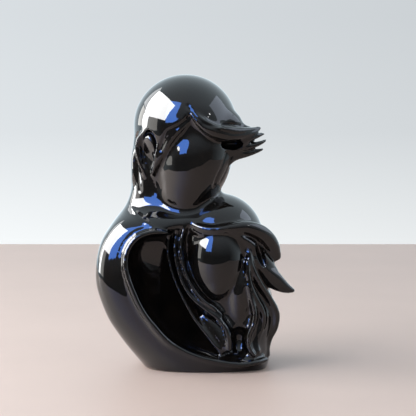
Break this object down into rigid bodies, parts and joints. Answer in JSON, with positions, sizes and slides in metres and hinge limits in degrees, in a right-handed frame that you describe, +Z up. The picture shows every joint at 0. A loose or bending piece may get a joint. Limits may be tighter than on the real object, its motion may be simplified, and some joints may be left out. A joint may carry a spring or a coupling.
{
  "type": "abstract parent and child figurine",
  "caption": "Glossy black ceramic figurine of a faceless parent, whose cloak wraps a hollow in which a child with flowing hair sits.",
  "frame": {"origin": "middle of the bounding box, on the plane of the flat foot", "axes": "+Z up, -Y is the front that the faces look towards, +X to the right seen from the front, where the locks of hair fly out"},
  "size_m": [0.1458, 0.0964, 0.2147],
  "materials": {
    "glaze": "gloss"
  },
  "bodies": {
    "root": {"sculpture": "glaze"}
  },
  "joints": []
}
